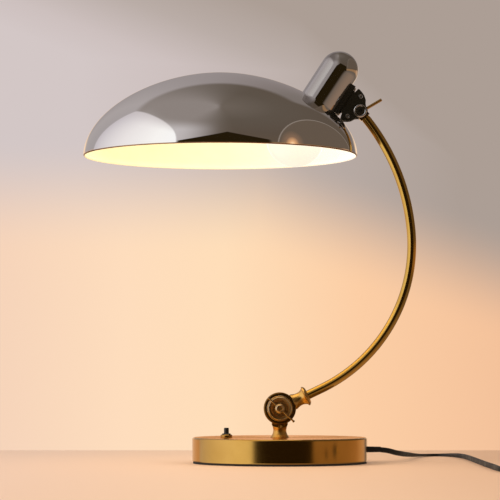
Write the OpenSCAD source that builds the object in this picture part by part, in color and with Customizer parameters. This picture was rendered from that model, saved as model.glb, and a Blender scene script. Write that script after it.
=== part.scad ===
// Dome shade desk lamp: a weighted round base, a clamped swivel knuckle, a bowed
// arm tube, a lockable tilt bracket and a wide mirror-finished dome shade.
// Origin: centre of the base's underside, on the table. +Z is up, +X runs from the
// base towards the bow of the arm, and the lamp's plane of symmetry is Y = 0.

/* [Base] */
// Outer diameter of the round base
base_d = 178; // [170:1:190]
// Height of the base's top face above the table
base_h = 26.2; // [25:0.2:32]
// Sheet thickness of the spun brass cover
cover_t = 1.2; // [0.8:0.1:1.6]
// Thickness of the felt pad under the base
pad_t = 2; // [1.5:0.1:2.5]

/* [Switch] */
// Distance of the push switch from the base's centre
switch_x = 54.3; // [50:0.5:60]
// Diameter of the push button
button_d = 5; // [4:0.5:6]
// Travel of the push button
button_travel = 2.5; // [1.5:0.5:3]

/* [Lower joint] */
// Height of the lower tilt axis above the table
joint_z = 55.5; // [54:0.5:58]
// Radius of the two knuckle discs
knuckle_r = 16.3; // [15:0.1:17]
// Thickness of each knuckle disc
knuckle_t = 7.7; // [7:0.1:9]
// Radius of the clamp screw's shank
clamp_r = 3; // [2.5:0.1:3.2]
// Length of the tommy bar
bar_l = 36; // [34:1:40]
// Diameter of the tommy bar
bar_d = 1.8; // [1.5:0.1:2.4]
// Angle of the tommy bar at rest, from the horizontal
bar_angle = -42.9; // [-60:0.1:0]

/* [Arm] */
// Outside diameter of the arm tube
arm_d = 8.5; // [8:0.1:9]
// Wall of the arm tube
arm_wall = 0.9; // [0.7:0.1:1.2]
// Angle at which the arm leaves the knuckle, above the horizontal
neck_angle = 25.5; // [24:0.5:27]
// Straight run from the tilt axis to the start of the bow
arm_run = 46.7; // [45:0.1:48]
// Radius of the bow's lower arc
bow_r1 = 163.1; // [160:0.1:166]
// Sweep of the bow's lower arc
bow_sweep1 = 71.2; // [70:0.1:73]
// Radius of the bow's upper arc
bow_r2 = 213; // [208:0.1:216]
// Sweep of the bow's upper arc, as far as the shade's pivot
bow_sweep2 = 34.5; // [33.5:0.1:35]

/* [Shade] */
// Outside diameter of the dome at its rim
shade_d = 280; // [276:1:284]
// Depth of the dome
shade_h = 84.6; // [83:0.2:86]
// Sheet thickness of the dome
shade_t = 1; // [0.8:0.1:1.2]
// Exponent of the dome's profile: 2 is an ellipse
dome_n = 1.85; // [1.82:0.01:1.88]
// Shade's centre from the pivot, along X
shade_dx = -143; // [-144:0.5:-142]
// Shade's rim from the pivot, along Z
shade_dz = -45.6; // [-46.5:0.1:-45]

/* [Socket housing] */
// Outside radius of the socket housing
housing_r = 19.5; // [19:0.1:20]
// Height of the socket housing along its axis
housing_h = 58; // [56:0.5:60]
// Sheet thickness of the socket housing
housing_t = 0.9; // [0.6:0.1:1.2]
// Angle of the socket's axis above the horizontal
socket_angle = 57; // [56:0.5:58]

/* [Bulb] */
// Diameter of the bulb's glass
bulb_d = 60; // [58:1:61]

/* [Cord] */
// Width of the flat two-core cord
cord_w = 5.4; // [5:0.1:5.4]
// Thickness of the flat two-core cord
cord_t = 3; // [2.6:0.1:3]
// Angle of the cord's exit round the base, from +X towards +Y
exit_angle = 10; // [8:1:12]
// Height of the cord's exit above the table
exit_z = 13.4; // [12:0.1:14]

/* [Hidden] */
$fn = 96;

fit = 0.05;              // running clearance on a radius
base_r = base_d / 2;
plate_t = 1.5;
weight_bottom = pad_t + plate_t;
weight_top = base_h - cover_t - 3;
weight_r = base_r - cover_t - 0.8;
weight_hole_r = 25;
screw_pcr = 68;          // circle of the three screws that hold the cover down
screw_angles = [60, 180, 300];
nut_h = 6;               // hexagon nut and washer under the cover
washer_t = 1.6;
bush_r = 3.5;            // threaded neck of the switch
button_top = 35.9;
button_bottom = 17;

// Casting neck, shared by both knuckles: [distance from the tilt axis, radius]
waist_s = 22.5;
waist_r = 6.7;
disc_s = 14;
neck_disc_r = 7.9;
flare_s = joint_z - base_h;
flare_r = 9.9;
relief_r = knuckle_r + 3;
clamp_floor = knuckle_t + 0.4;
hub_r = 4.6;
hub_h0 = clamp_floor + 0.5;
hub_h1 = hub_h0 + 7.4;
bar_h = hub_h0 + 3.9;
bar_shift = 1.6;         // how far the tommy bar has slid through its hub

// Arm: the bow is two arcs with a short straight run between them
bow_mid = 2;
bow1_x = arm_run * cos(neck_angle) - bow_r1 * sin(neck_angle);
bow1_z = joint_z + arm_run * sin(neck_angle) + bow_r1 * cos(neck_angle);
bow1_a0 = neck_angle - 90;
bow1_a1 = bow1_a0 + bow_sweep1;
bow2_x = bow1_x + (bow_r1 - bow_r2) * cos(bow1_a1) - bow_mid * sin(bow1_a1);
bow2_z = bow1_z + (bow_r1 - bow_r2) * sin(bow1_a1) + bow_mid * cos(bow1_a1);
pivot_a = bow1_a1 + bow_sweep2;
pivot_x = bow2_x + bow_r2 * cos(pivot_a);
pivot_z = bow2_z + bow_r2 * sin(pivot_a);
arm_r = arm_d / 2;
socket_s = 20;           // depth of the tube in the arm knuckle, from the tilt axis
tip_gap = 9.6;           // from the end of the tube to the pivot
tip_a = pivot_a - tip_gap / bow_r2 * 180 / PI;

// Head: shade, socket and bracket
shade_x = pivot_x + shade_dx;
shade_z = pivot_z + shade_dz;
shade_r = shade_d / 2;
dome_steps = 36;
rim_r = 1.1;
// Point where the socket's axis passes the dome, from the pivot
socket_dx = -42.1;
socket_dz = 10.2;
socket_x = pivot_x + socket_dx;
socket_z = pivot_z + socket_dz;
// Pivot in the socket's own frame: along the axis and away from it
pivot_t = -socket_dx * cos(socket_angle) - socket_dz * sin(socket_angle);
pivot_v = -socket_dx * sin(socket_angle) + socket_dz * cos(socket_angle);
holder_hole_r = 18;
holder_r = 17.3;
saddle_v1 = housing_r + 4;
ear_t = 2.3;
tongue_t = 5;
tongue_w = 11.2;
ear_gap = tongue_t + 0.6;
bolt_r = 3;
lobe_r = 7.7;
ear_face = ear_gap / 2 + ear_t;
saddle_gap = pivot_v - saddle_v1 - 0.1;web_screws = [[0.9, 14.9, 24], [-12.9, -5.4, -24]];    // x, z, and the lean of the lug
lead_t = pivot_t + 6;    // where the lead enters the housing, along the socket's axis
lever_angle = 30.7;
lever_reach = 26.6;
lever_d = 3;

// Bulb, along the socket's axis: the seat is the cap's contact end
bulb_seat = 35.4;
bulb_wall = 0.7;
bulb_l = 110;
cap_l = 25;
cap_r = 13;
bulb_c = bulb_seat - bulb_l + bulb_d / 2;
cap_t = bulb_seat - cap_l;

// Cord: the coil lies flat on its tie, beyond the right of the lamp
coil_x = 262;
coil_y = -203;
coil_r = 39.5;             // radius at the start of the first turn
coil_pitch = 5.9;        // step between turns
coil_step = 3.6;         // step between layers
coil_turns = 5.25;
coil_middle = 2.5;       // turn at which the spiral reverses and climbs
climb_turns = 0.5;       // length of the climb
coil_dip = 2.2;          // how far the cord draws in where it climbs
rings_per_turn = 24;
tie_t = 0.6;
coil_z = cord_t / 2 + tie_t + 0.1;
plug_y = -146;
plug_z = 6.2;
plug_l = 27;
plug_w = 24;
plug_h = 12;
plug_neck = 10;
relief_in = 6;           // strain relief inside the base
relief_out = 16;         // strain relief outside the base

// Route of the free cord: [x, y, z, roll], where roll 90 stands the cord on its edge
exit_x = (base_r + relief_out) * cos(exit_angle);
exit_y = (base_r + relief_out) * sin(exit_angle);
ROUTE = [
    [exit_x, exit_y, exit_z - 0.4, 90],
    [exit_x + 5, exit_y + 1, exit_z - 0.9, 90],
    [113, 22, 11.6, 88],
    [120, 31, 9.6, 84],
    [126, 45, 8.2, 76],
    [132, 72, 6.6, 62],
    [138, 100, 5.2, 46],
    [144, 126, 3.8, 28],
    [151, 150, 2.7, 12],
    [158, 170, 2, 2],
    [167, 186, 1.6, 0],
    [178, 189, 1.6, 4],
    [187, 180, 1.9, 16],
    [193, 160, 2.3, 38],
    [197, 130, 2.7, 60],
    [199, 95, 2.8, 76],
    [199.5, 50, 2.8, 86],
    [199.5, 0, 2.75, 90],
    [199.5, -50, 2.75, 90],
    [199.5, -100, 2.75, 90],
    [200, -140, 2.75, 90],
    [200.2, -180, 2.85, 84],
    [200.5, -209, 2.85, 64],
    [205, -225, 2.4, 40],
    [215, -237, 2.2, 18],
    [230.5, -242.2, 2.2, 4],
    [246, -242.5, coil_z, 0],
    [coil_x, coil_y - coil_r, coil_z, 0]
];
route_steps = 2;

// ---------------------------------------------------------------- placing helpers

// Local x, y are X, Z of the lamp, and local z points to the front (-Y)
module at_lower_joint() { translate([0, 0, joint_z]) rotate([90, 0, 0]) children(); }
module at_pivot() { translate([pivot_x, 0, pivot_z]) rotate([90, 0, 0]) children(); }

// Local z runs up the socket's axis, local x points from it to the pivot
module at_socket() { translate([socket_x, 0, socket_z]) rotate([0, 90 - socket_angle, 0]) children(); }

// A disc or tube about a joint's own axis
module disc(r, h0, h1) { translate([0, 0, h0]) cylinder(r = r, h = h1 - h0); }
module ring(r, bore, h0, h1) {
    difference() {
        disc(r, h0, h1);
        disc(bore, h0 - 1, h1 + 1);
    }
}

// A wire of radius r along a smooth curve through a list of points
module wire(points, r) {
    path = smooth(points, 3);
    dirs = along(path);
    outline = [for (a = [30 : 60 : 330]) r * [cos(a), sin(a)]];
    swept([for (i = [0 : len(path) - 1]) ring_at(path[i], dirs[i], 0, outline)]);
}

function arc(cx, cy, r, a0, a1, n) =
    [for (i = [0 : n]) let (a = a0 + (a1 - a0) * i / n) [cx + r * cos(a), cy + r * sin(a)]];

// ---------------------------------------------------------------- base

module felt_pad() {
    color("#1c1a19") cylinder(r = base_r - 0.8, h = pad_t);
}

module base_plate() {
    color("#8b8d90") difference() {
        translate([0, 0, pad_t]) cylinder(r = base_r - cover_t - 0.3, h = plate_t);
        for (a = screw_angles) rotate(a) translate([screw_pcr, 0, pad_t]) {
            translate([0, 0, -1]) cylinder(r = 2.1, h = plate_t + 2);
            translate([0, 0, -0.01]) cylinder(r1 = 3.7, r2 = 2.1, h = 1.3);
        }
    }
}

module base_weight() {
    color("#3c3b3a") difference() {
        translate([0, 0, weight_bottom]) cylinder(r = weight_r, h = weight_top - weight_bottom);
        translate([0, 0, weight_bottom - 1]) cylinder(r = weight_hole_r, h = base_h);
        // Channel for the cord, and a pocket for the switch
        rotate(exit_angle) translate([10, -6, weight_bottom - 1]) cube([base_r, 12, base_h]);
        translate([-switch_x - 11, -10, weight_bottom - 1]) cube([22, 20, base_h]);
        translate([-switch_x, -4, weight_bottom - 1]) cube([switch_x, 8, base_h]);
        for (a = screw_angles) rotate(a) translate([screw_pcr, 0, weight_bottom - 1])
            cylinder(r = 1.8, h = 13);
    }
}

module base_screws() {
    color("#b8b8b8") for (a = screw_angles) rotate(a) translate([screw_pcr, 0, 0]) {
        translate([0, 0, pad_t + 0.05]) cylinder(r1 = 3.5, r2 = 1.75, h = 1.4);
        translate([0, 0, pad_t + 0.05]) cylinder(r = 1.75, h = 11, $fn = 32);
    }
}

module base_cover() {
    edge_r = 1.8;
    color("#b98a3c") difference() {
        rotate_extrude($fn = 180) polygon(concat(
            [[0, base_h - cover_t], [base_r - cover_t - 0.6, base_h - cover_t],
             [base_r - cover_t, base_h - cover_t - 0.6], [base_r - cover_t, pad_t],
             [base_r, pad_t]],
            arc(base_r - edge_r, base_h - edge_r, edge_r, 0, 90, 6),
            [[0, base_h]]));
        translate([0, 0, base_h - 5]) cylinder(r = 5 + fit, h = 10);
        translate([-switch_x, 0, base_h - 5]) cylinder(r = 3.6, h = 10);
        rotate(exit_angle) translate([base_r - 5, 0, exit_z]) rotate([0, 90, 0]) cylinder(r = 4.1, h = 10);
    }
}

module foot_nipple() {
    color("#c9a24a") translate([0, 0, 13]) ring(5, 3.2, 0, joint_z - relief_r - 15);
}

module foot_washer() {
    color("#b8b8b8") ring(12, 5 + fit, base_h - cover_t - washer_t, base_h - cover_t);
}

module foot_nut() {
    top = base_h - cover_t - washer_t;
    color("#b8b8b8") difference() {
        translate([0, 0, top - nut_h]) cylinder(r = 8.7, h = nut_h, $fn = 6);
        translate([0, 0, top - nut_h - 1]) cylinder(r = 5 + fit, h = nut_h + 2);
    }
}

// ---------------------------------------------------------------- switch

module switch_body() {
    color("#262626") difference() {
        union() {
            translate([-switch_x - 9, -7, 6]) cube([18, 14, base_h - cover_t - 7]);
            translate([-switch_x, 0, base_h - cover_t - 2]) cylinder(r = bush_r, h = cover_t + 4.8);
        }
        translate([-switch_x, 0, button_bottom - button_travel - 0.5]) cylinder(r = button_d / 2 + fit, h = 20);
    }
}

module switch_nut() {
    color("#c79a45") translate([-switch_x, 0, 0]) difference() {
        union() {
            translate([0, 0, base_h]) cylinder(r = 6, h = 2.2);
            translate([0, 0, base_h + 2.2]) cylinder(r1 = 6, r2 = 5.4, h = 0.6);
        }
        translate([0, 0, base_h - 1]) cylinder(r = bush_r + fit, h = 5);
    }
}

module switch_collar() {
    color("#1b1b1b") translate([-switch_x, 0, base_h + 2.85]) difference() {
        union() {
            cylinder(r = 4.4, h = 0.6);
            translate([0, 0, 0.6]) cylinder(r1 = 4.4, r2 = 3.9, h = 0.5);
        }
        translate([0, 0, -1]) cylinder(r = button_d / 2 + fit, h = 3);
    }
}

module switch_button() {
    color("#101010") translate([-switch_x, 0, 0]) rotate_extrude() polygon(concat(
        [[0, button_bottom], [button_d / 2, button_bottom]],
        arc(button_d / 2 - 0.8, button_top - 0.8, 0.8, 0, 90, 4),
        [[0, button_top]]));
}

module base_lead() {
    color("#e6e2d8") {
        rotate(exit_angle) wire([[base_r - relief_in - 0.2, 0, exit_z], [66, 0, 12], [40, 0, 9],
            [16, 0, 7], [4, 0, 9], [0.2, 0, 15], [0, 0.1, 25], [0, 0, joint_z - relief_r - 1.5]], 1.4);
        wire([[0, 5, 6], [-16, 3, 6.5], [-32, 0, 8], [9.3 - switch_x, 0, 10]], 1.3);
    }
}

// ---------------------------------------------------------------- lower joint

// The waisted neck of a casting, along +Z from its tilt axis, with its flare at the end
function neck_r(s) = s < waist_s
    ? waist_r + (neck_disc_r + 0.4 - waist_r) * pow((waist_s - s) / (waist_s - disc_s - 2), 2)
    : waist_r + (flare_r - waist_r) * pow((s - waist_s) / (flare_s - waist_s), 2);
function neck_side(s0, s1, n) = [for (i = [0 : n]) let (s = s0 + (s1 - s0) * i / n) [neck_r(s), s]];

// Disc of one knuckle half, its mating face at h = 0, its rounded face at h = t
module knuckle_disc() {
    edge = 3.4;
    rotate_extrude() polygon(concat(
        [[0, 0], [knuckle_r, 0]],
        arc(knuckle_r - edge, knuckle_t - edge, edge, 0, 90, 6),
        [[0, knuckle_t]]));
}

module lower_knuckle() {
    color("#a5803f") difference() {
        union() {
            at_lower_joint() translate([0, 0, -0.25]) rotate([180, 0, 0]) knuckle_disc();
            translate([0, 0, joint_z]) rotate([180, 0, 0]) rotate_extrude() polygon(concat(
                [[0, disc_s - 4], [neck_disc_r - 0.3, disc_s - 4], [neck_disc_r, disc_s]],
                neck_side(disc_s + 2, flare_s - 0.8, 12),
                [[flare_r, flare_s], [0, flare_s]]));
        }
        // Clearance for the arm's disc in the front half
        at_lower_joint() disc(relief_r, -0.25, 20);
        at_lower_joint() disc(clamp_r + fit, -20, 20);
        at_lower_joint() disc(6.2, -20, -knuckle_t + 1.6);
        // Bore for the nipple, and the wire's way on
        translate([0, 0, base_h - 1]) cylinder(r = 5 + fit, h = 9.5);
        translate([0, 0, base_h]) cylinder(r = 2.6, h = joint_z - base_h - relief_r + 2);
    }
}

module friction_washer() {
    color("#6b4a2c") at_lower_joint() ring(12.5, clamp_r + fit, -0.25, 0.25);
}

module knuckle_nut() {
    h0 = -knuckle_t + 1.5;
    color("#c79a45") at_lower_joint() difference() {
        union() {
            translate([0, 0, h0 - 5.4]) cylinder(r = 5.8, h = 5.3, $fn = 6);
            rotate([180, 0, 0]) translate([0, 0, -h0 + 5.4]) rotate_extrude() polygon(concat(
                [[0, 0], [4.8, 0]], arc(0, 0.6, 4.8, 0, 90, 8)));
        }
        disc(clamp_r + fit, h0 - 7, h0 + 1);
    }
}

module arm_knuckle() {
    end_s = 32;
    lip_s = 28.8;
    color("#a5803f") difference() {
        union() {
            at_lower_joint() translate([0, 0, 0.3]) knuckle_disc();
            translate([0, 0, joint_z]) rotate([0, 90 - neck_angle, 0]) rotate_extrude() polygon(concat(
                [[0, disc_s - 4], [neck_disc_r - 0.3, disc_s - 4], [neck_disc_r, disc_s]],
                neck_side(disc_s + 2, lip_s - 1, 10),
                [[10.2, lip_s - 0.3], [10.3, lip_s + 0.4], [10, lip_s + 1.2], [9.2, lip_s + 2.1],
                 [7.6, end_s - 0.2], [6.6, end_s], [0, end_s]]));
        }
        // Clearance for the fixed disc in the rear half
        at_lower_joint() disc(relief_r, -20, 0.3);
        at_lower_joint() disc(clamp_r + fit, -20, 20);
        at_lower_joint() disc(9.6, knuckle_t - 0.5, 20);
        translate([0, 0, joint_z]) rotate([0, 90 - neck_angle, 0]) {
            translate([0, 0, socket_s]) cylinder(r = arm_r + fit, h = 20);
            translate([0, 0, disc_s - 3]) cylinder(r = 2.4, h = 20);
        }
    }
}

module clamp_disc() {
    lip = clamp_floor + 2.3;
    color("#b08a48") at_lower_joint() rotate_extrude() polygon([
        [clamp_r + fit, clamp_floor - 0.5], [9.2, clamp_floor - 0.5], [9.2, clamp_floor],
        [12.6, clamp_floor], [12.8, clamp_floor + 1.2], [12.5, lip - 0.3], [12.1, lip],
        [11.6, lip - 0.2], [11.2, lip - 1], [8.9, lip - 1.5], [8.5, lip - 1.1], [8, lip - 1.2],
        [7.6, lip - 1.7], [clamp_r + fit, lip - 1.9]]);
}

module clamp_screw() {
    color("#b08a48") at_lower_joint() difference() {
        union() {
            disc(clamp_r, -knuckle_t - 4.6, hub_h0 + 0.1);
            rotate_extrude() polygon(concat(
                [[0, hub_h0], [hub_r, hub_h0]],
                arc(hub_r - 0.9, hub_h1 - 0.9, 0.9, 0, 90, 4),
                [[2.6, hub_h1], [2.2, hub_h1 - 0.5], [0, hub_h1 - 0.5]]));
        }
        rotate(bar_angle) translate([-10, 0, bar_h]) rotate([0, 90, 0]) cylinder(r = bar_d / 2 + fit, h = 20);
    }
}

module tommy_bar() {
    tip_r = bar_d / 2 + 0.35;
    color("#8a6a34") at_lower_joint() rotate(bar_angle) translate([bar_shift, 0, bar_h]) rotate([0, 90, 0]) {
        translate([0, 0, -bar_l / 2]) cylinder(r = bar_d / 2, h = bar_l);
        for (m = [0, 1]) mirror([0, 0, m]) translate([0, 0, bar_l / 2 - 1.6]) rotate_extrude() polygon(concat(
            [[0, 0], [tip_r, 0.4]], arc(tip_r - 0.5, 1.3, 0.5, 0, 90, 3), [[0, 1.8]]));
    }
}

// ---------------------------------------------------------------- arm

// A round bar of radius r along the arm, from the distance s0 to the angle a1 of the upper arc
module along_arm(r, s0, a1) {
    translate([bow1_x, 0, bow1_z]) rotate([90, 0, 0]) {
        rotate(bow1_a0) translate([bow_r1, 0, 0]) rotate([90, 0, 0]) cylinder(r = r, h = arm_run - s0, $fn = 48);
        rotate(bow1_a0) rotate_extrude(angle = bow_sweep1, $fn = 256)
            translate([bow_r1, 0]) circle(r = r, $fn = 48);
        rotate(bow1_a1) translate([bow_r1, 0, 0]) rotate([-90, 0, 0]) cylinder(r = r, h = bow_mid, $fn = 48);
        rotate(bow1_a1) translate([bow_r1 - bow_r2, bow_mid, 0]) rotate_extrude(angle = a1 - bow1_a1, $fn = 256)
            translate([bow_r2, 0]) circle(r = r, $fn = 48);
    }
}

module arm_tube() {
    color("#c9a24a") difference() {
        along_arm(arm_r, socket_s + 0.05, tip_a);
        along_arm(arm_r - arm_wall, socket_s - 2, tip_a + 1);
    }
}

module arm_lead() {
    color("#e6e2d8") along_arm(1.4, socket_s - 0.5, tip_a - 3.6);
}

module arm_tip() {
    plug_r = arm_r - arm_wall - 0.2;
    color("#c9a24a") difference() {
        union() {
            // Plug in the tube's end, and the shoulder that caps it
            translate([bow2_x + bow_r2 * cos(tip_a), 0, bow2_z + bow_r2 * sin(tip_a)])
                rotate([0, 180 - tip_a, 0]) translate([0, 0, -1.2]) {
                    cylinder(r = plug_r, h = 7.2, $fn = 48);
                    cylinder(r = arm_r, h = 1.15, $fn = 48);
                }
            at_pivot() disc(7.4, -tongue_t / 2, tongue_t / 2);
            at_pivot() rotate(pivot_a - 90) translate([0, -tongue_w / 2, -tongue_t / 2])
                cube([tip_gap - 1, tongue_w, tongue_t]);
        }
        at_pivot() disc(bolt_r + fit, -20, 20);
    }
}

// ---------------------------------------------------------------- shade and socket

// Points of the dome's profile, from the rim to the crown
function dome_points(r, h, n) = [for (i = [0 : n])
    let (a = 90 * i / n) [r * pow(cos(a), 2 / dome_n), h * pow(sin(a), 2 / dome_n)]];
function reversed(p) = [for (i = [len(p) - 1 : -1 : 0]) p[i]];

module dome_solid(grow) {
    translate([shade_x, 0, shade_z]) rotate_extrude($fn = 180)
        polygon(concat([[0, 0]], dome_points(shade_r + grow, shade_h + grow, dome_steps)));
}

module shade() {
    inner_r = shade_r - shade_t;
    color("#9c9a9b") difference() {
        union() {
            translate([shade_x, 0, shade_z]) rotate_extrude($fn = 180) polygon(concat(
                dome_points(shade_r, shade_h, dome_steps),
                reversed(dome_points(inner_r, shade_h - shade_t, dome_steps))));
            translate([shade_x, 0, shade_z]) rotate_extrude($fn = 180)
                translate([shade_r - rim_r, 0]) circle(r = rim_r, $fn = 24);
        }
        at_socket() disc(holder_hole_r, -12, 12);
    }
}

module socket_housing() {
    inner = housing_r - housing_t;
    side = housing_h - housing_r;
    color("#a8a6a6") difference() {
        at_socket() rotate_extrude() polygon(concat(
            [[inner, -4], [housing_r, -4]],
            arc(0, side, housing_r, 0, 90, 14),
            arc(0, side, inner, 90, 0, 14)));
        dome_solid(0.12);
        // Holes for the saddle's screws and for the lead
        at_socket() for (t = saddle_screw_t) translate([0, 0, t]) rotate([0, 90, 0]) cylinder(r = 1.6, h = 30);
        at_socket() translate([0, 0, lead_t]) rotate([0, 90, 0]) cylinder(r = 2.6, h = 30);
    }
}

module housing_ring() {
    color("#d8d2c4") intersection() {
        at_socket() ring(22.5, holder_r + 0.15, -6.6, 3);
        dome_solid(-shade_t - 0.35);
    }
}

module lampholder() {
    color("#efe9dc") at_socket() rotate_extrude() polygon(concat(
        [[14.6, -6], [holder_r, -6], [holder_r, 2], [holder_r - 1.4, 4], [holder_r - 1.4, 30]],
        arc(holder_r - 6.4, 37, 5, 0, 90, 5),
        [[0, 42], [0, 38.6], [14.6, 38.6]]));
}

module lampholder_shell() {
    color("#c9a24a") at_socket() rotate_extrude() polygon([
        [13.3, 8], [14, 8], [14, 38.4], [5, 38.4], [5, 37.7], [13.3, 37.7]]);
}

module lampholder_contact() {
    color("#c9a24a") at_socket() disc(3.2, 36.6, 38.4);
}

module bulb_cap() {
    color("#c8c8c8") at_socket() rotate_extrude() polygon(concat(
        [[12, cap_t], [cap_r, cap_t]],
        [for (i = [0 : 13]) [cap_r - (i % 2) * 0.7, cap_t + 1.5 + i * 1.25]],
        [[cap_r - 0.8, cap_t + 19], [6.4, bulb_seat - 2.4], [5.2, bulb_seat - 2.4], [12, cap_t + 17]]));
}

module bulb_tip() {
    color("#7a6a50") at_socket() rotate_extrude() polygon([
        [0, bulb_seat - 6], [4.9, bulb_seat - 2.6], [5, bulb_seat - 2.3], [6.3, bulb_seat - 2.3],
        [4.6, bulb_seat - 0.9],
        [3.6, bulb_seat], [0, bulb_seat]]);
}

// Outline of the bulb's glass from its crown to its neck, drawn in by the wall's thickness
function bulb_side(wall) = let (r = bulb_d / 2 - wall) concat(
    [[0, bulb_c - r]],
    [for (a = [-80 : 10 : 20]) [r * cos(a), bulb_c + r * sin(a)]],
    [for (p = [[26.4, 15.5], [22.4, 22.3], [18.4, 29.2], [15.5, 35], [14.1, 39.5], [13.5, 45]])
        [p[0] - wall, bulb_c + p[1]]]);

// Hollow glass, closed inside the cap
module bulb_glass() {
    color("#fff1cf") at_socket() rotate_extrude() polygon(concat(
        bulb_side(0),
        [[13.1, cap_t - 3], [13.1, cap_t - 0.1], [11.8, cap_t - 0.1], [11.8, cap_t + 4], [0, cap_t + 4]],
        [[0, cap_t + 3.2], [11, cap_t + 3.2], [11, cap_t - 3]],
        reversed(bulb_side(bulb_wall))));
}

module head_lead() {
    color("#e6e2d8") at_socket() wire([[saddle_v1 - 0.5, 0, lead_t], [20.5, 0.1, lead_t],
        [18, 0, lead_t + 0.7], [17, 0, lead_t + 3.5], [17, 0, 33], [16, 0, 40.4],
        [11.4, 0, 46.2], [6, 0, 46.5], [4, 0, 43]], 0.8);
}

// ---------------------------------------------------------------- bracket

saddle_screw_t = [pivot_t - 13.2, pivot_t + 15.2];

// Ear outline in the pivot's frame, from the saddle to the round lobe about the pivot
module ear_outline() {
    // Corner points: u runs up along the housing, v away from it
    function at(u, v) = [u * cos(socket_angle) + v * sin(socket_angle),
                         u * sin(socket_angle) - v * cos(socket_angle)];
    polygon([at(12.6, -saddle_gap), at(13.6, -14.8), at(17.9, -14), at(18.3, -12.6), at(17.4, -9.2),
             at(15.9, -5.4), at(12.6, -1.2), at(9.4, 0.6), at(4.6, 5), at(-4.6, 5),
             at(-7.4, 2.2), at(-9.6, -0.4), at(-13, -2.2), at(-15.2, -4.4), at(-17.8, -8.8),
             at(-17.9, -10.2), at(-16.2, -13.4), at(-11.4, -14.6), at(-10.6, -saddle_gap)]);
}
module ear(h0, h1) {
    at_pivot() difference() {
        union() {
            disc(lobe_r, h0, h1);
            translate([0, 0, h0]) linear_extrude(h1 - h0) ear_outline();
        }
        disc(bolt_r + fit, -20, 20);
        for (p = web_screws) translate([p[0], p[1], -20]) cylinder(r = 1.3 + fit, h = 40, $fn = 32);
    }
}

module bracket_front() { color("#161514") ear(ear_gap / 2, ear_gap / 2 + ear_t); }
module bracket_rear() { color("#161514") ear(-ear_gap / 2 - ear_t, -ear_gap / 2); }

// Flange that hugs the housing, with a web between the ears
module bracket_saddle() {
    web = ear_gap / 2 - 0.02;
    web_lug_t = 4.6;
    low = pivot_t - 15.6;
    high = pivot_t + 18.4;
    color("#161514") difference() {
        union() {
            at_socket() translate([0, -7, low]) cube([saddle_v1, 14, high - low]);
            at_socket() translate([housing_r + 2, -web, pivot_t - 9.6]) cube([4.6, web * 2, 21.2]);
            at_pivot() for (p = web_screws) translate([p[0], p[1], 0]) disc(3.1, -web, web);
            at_pivot() for (p = web_screws) translate([p[0], p[1], 0]) rotate(socket_angle + p[2])
                translate([-2.2, 0, -web_lug_t / 2]) cube([4.4, 11, web_lug_t]);
        }
        at_socket() disc(housing_r + 0.1, -20, 60);
        at_pivot() disc(8.4, -20, 20);
        at_pivot() for (p = web_screws) translate([p[0], p[1], -20]) cylinder(r = 1.3 + fit, h = 40, $fn = 32);
        at_socket() for (t = saddle_screw_t) translate([0, 0, t]) rotate([0, 90, 0])
            cylinder(r = 1.5 + fit, h = 40, $fn = 32);
        at_socket() translate([0, 0, lead_t]) rotate([0, 90, 0]) cylinder(r = 1.9, h = 40);
    }
}

// Screws through both ears and the web, with ringed heads
module bracket_screws() {
    color("#5a5651") at_pivot() for (p = web_screws) translate([p[0], p[1], 0]) {
        disc(1.3, -ear_face - 0.7, ear_face + 0.2, $fn = 32);
        for (m = [0, 1]) mirror([0, 0, m]) translate([0, 0, ear_face + 0.02]) rotate_extrude($fn = 48)
            polygon([[0, 0], [2.4, 0], [2.4, 0.35], [2.1, 0.8], [1.7, 0.8], [1.4, 0.4], [0, 0.4]]);
    }
}

module saddle_screws() {
    color("#c9c9c9") at_socket() for (t = saddle_screw_t) translate([0, 0, t]) rotate([0, 90, 0]) {
        translate([0, 0, housing_r - 1.4]) cylinder(r = 1.5, h = 6, $fn = 32);
        translate([0, 0, saddle_v1 + 0.05]) rotate_extrude($fn = 48)
            polygon([[0, 0], [2.6, 0], [2.5, 1], [1.7, 1.7], [0, 1.9]]);
    }
}

module pivot_bolt() {
    color("#1d1c1b") at_pivot() difference() {
        union() {
            disc(bolt_r, -ear_face - 11, ear_face + 1);
            translate([0, 0, ear_face]) rotate_extrude() polygon([
                [0, 0.1], [4.2, 0.1], [4.2, 2], [3.7, 2.4], [0, 2.4]]);
        }
        translate([0, 0, ear_face + 1]) cylinder(r = 2, h = 4, $fn = 6);
    }
}

module pivot_ring() {
    color("#d5d5d5") at_pivot() translate([0, 0, ear_face + 0.05]) rotate_extrude() polygon(concat(
        [[4.3, 0], [6.9, 0]], arc(5.6, 0.8, 1.3, 0, 180, 10), [[4.3, 0.6]]));
}

// ---------------------------------------------------------------- lever

module lever_nut() {
    color("#b8862f") at_pivot() difference() {
        union() {
            disc(6.2, -ear_face - 2.6, -ear_face - 0.08);
            disc(5.2, -ear_face - 9, -ear_face - 2.5);
            rotate([180, 0, 0]) translate([0, 0, ear_face + 9]) rotate_extrude() polygon(concat(
                [[0, 0]], arc(0, 0, 5.2, 0, 90, 6)));
        }
        disc(bolt_r + fit, -ear_face - 11.4, 0);
        rotate(lever_angle) translate([3.4, 0, -ear_face - 5.8]) rotate([0, 90, 0])
            cylinder(r = lever_d / 2 + 0.02, h = 10, $fn = 48);
    }
}

module lever_rod() {
    color("#c08a30") at_pivot() rotate(lever_angle) translate([0, 0, -ear_face - 5.8]) rotate([0, 90, 0])
        rotate_extrude() polygon([[0, 3.5], [lever_d / 2, 3.5], [lever_d / 2, lever_reach - 0.3],
            [lever_d / 2 - 0.3, lever_reach], [0, lever_reach]]);
}

// ---------------------------------------------------------------- cord and plug

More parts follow.
